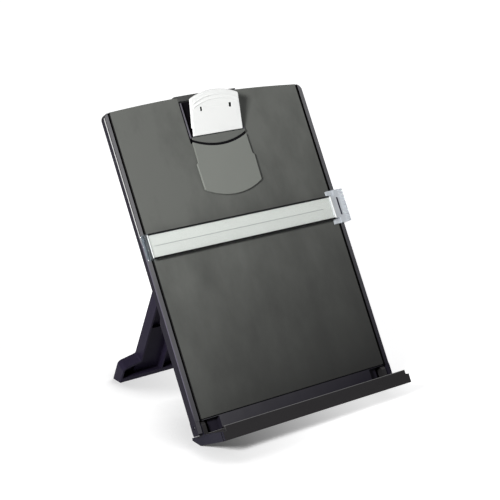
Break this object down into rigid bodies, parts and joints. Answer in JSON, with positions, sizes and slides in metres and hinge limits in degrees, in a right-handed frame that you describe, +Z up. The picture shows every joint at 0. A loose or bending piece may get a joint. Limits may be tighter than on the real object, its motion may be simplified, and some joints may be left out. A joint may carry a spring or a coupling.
{
  "type": "copy holder with line guide",
  "caption": "Black desktop copy holder: leaning board on a folding back leg, folding ledge with lip, sliding line guide with clear grip, and a sprung paper clip at the top.",
  "frame": {"origin": "on the desk, in the middle of the underside of the ledge's rubber sole pad", "axes": "+Z up from the desk, +Y from the reader to the back (the board leans back towards +Y), +X along the ledge to the reader's right"},
  "size_m": [0.2462, 0.2255, 0.3034],
  "materials": {
    "black_plastic": "satin, fine moulded grain",
    "panel_plastic": "satin, fine moulded grain",
    "clip_grey": "satin",
    "clip_white": "semi-gloss",
    "guide_pale": "satin",
    "clear_plastic": "clear, glossy",
    "steel": "drawn wire, zinc plated",
    "rubber": "matt"
  },
  "bodies": {
    "board": {"board_frame": "black_plastic", "front_panel": "panel_plastic", "leg_hinge_bracket": "black_plastic", "bracket_screws": "steel", "leg_hinge_pin": "steel", "ledge_pin_left": "steel", "ledge_pin_right": "steel", "clip_base": "black_plastic", "clip_rivets": "steel", "clip_pin": "steel", "clip_spring_left": "steel", "clip_spring_right": "steel"},
    "ledge": {"ledge_tray": "black_plastic", "ledge_lip": "black_plastic", "ledge_sole_pad": "rubber"},
    "leg": {"leg_shell": "black_plastic", "leg_foot_pad_left": "rubber", "leg_foot_pad_right": "rubber"},
    "guide": {"guide_strip": "guide_pale", "guide_cover": "clear_plastic", "guide_left_runner": "clear_plastic", "guide_right_runner": "clear_plastic", "guide_friction_spring": "steel"},
    "clip": {"clip_arm": "black_plastic", "clip_lever_cap": "clip_white", "clip_bridge_cover": "clip_grey", "jaw_cover": "clip_grey", "jaw_pad": "rubber"}
  },
  "joints": [
    {"name": "ledge_fold", "type": "hinge", "parent": "board", "child": "ledge", "pos_m": [0, -0.00542, 0.01976], "axis": [-1, 0, 0], "range_deg": [0, 90]},
    {"name": "leg_fold", "type": "hinge", "parent": "board", "child": "leg", "pos_m": [0, 0.09592, 0.16909], "axis": [-1, 0, 0], "range_deg": [0, 54.8]},
    {"name": "guide_slide", "type": "slide", "parent": "board", "child": "guide", "axis": [0, 0.5, 0.866], "range_m": [-0.1175, 0.021]},
    {"name": "clip_jaw", "type": "hinge", "parent": "board", "child": "clip", "pos_m": [0, 0.12931, 0.26251], "axis": [-1, 0, 0], "range_deg": [0, 16], "stiffness_Nm_per_rad": 0.4, "springref_deg": -22.92, "deforming": ["clip_spring_left", "clip_spring_right"]}
  ]
}
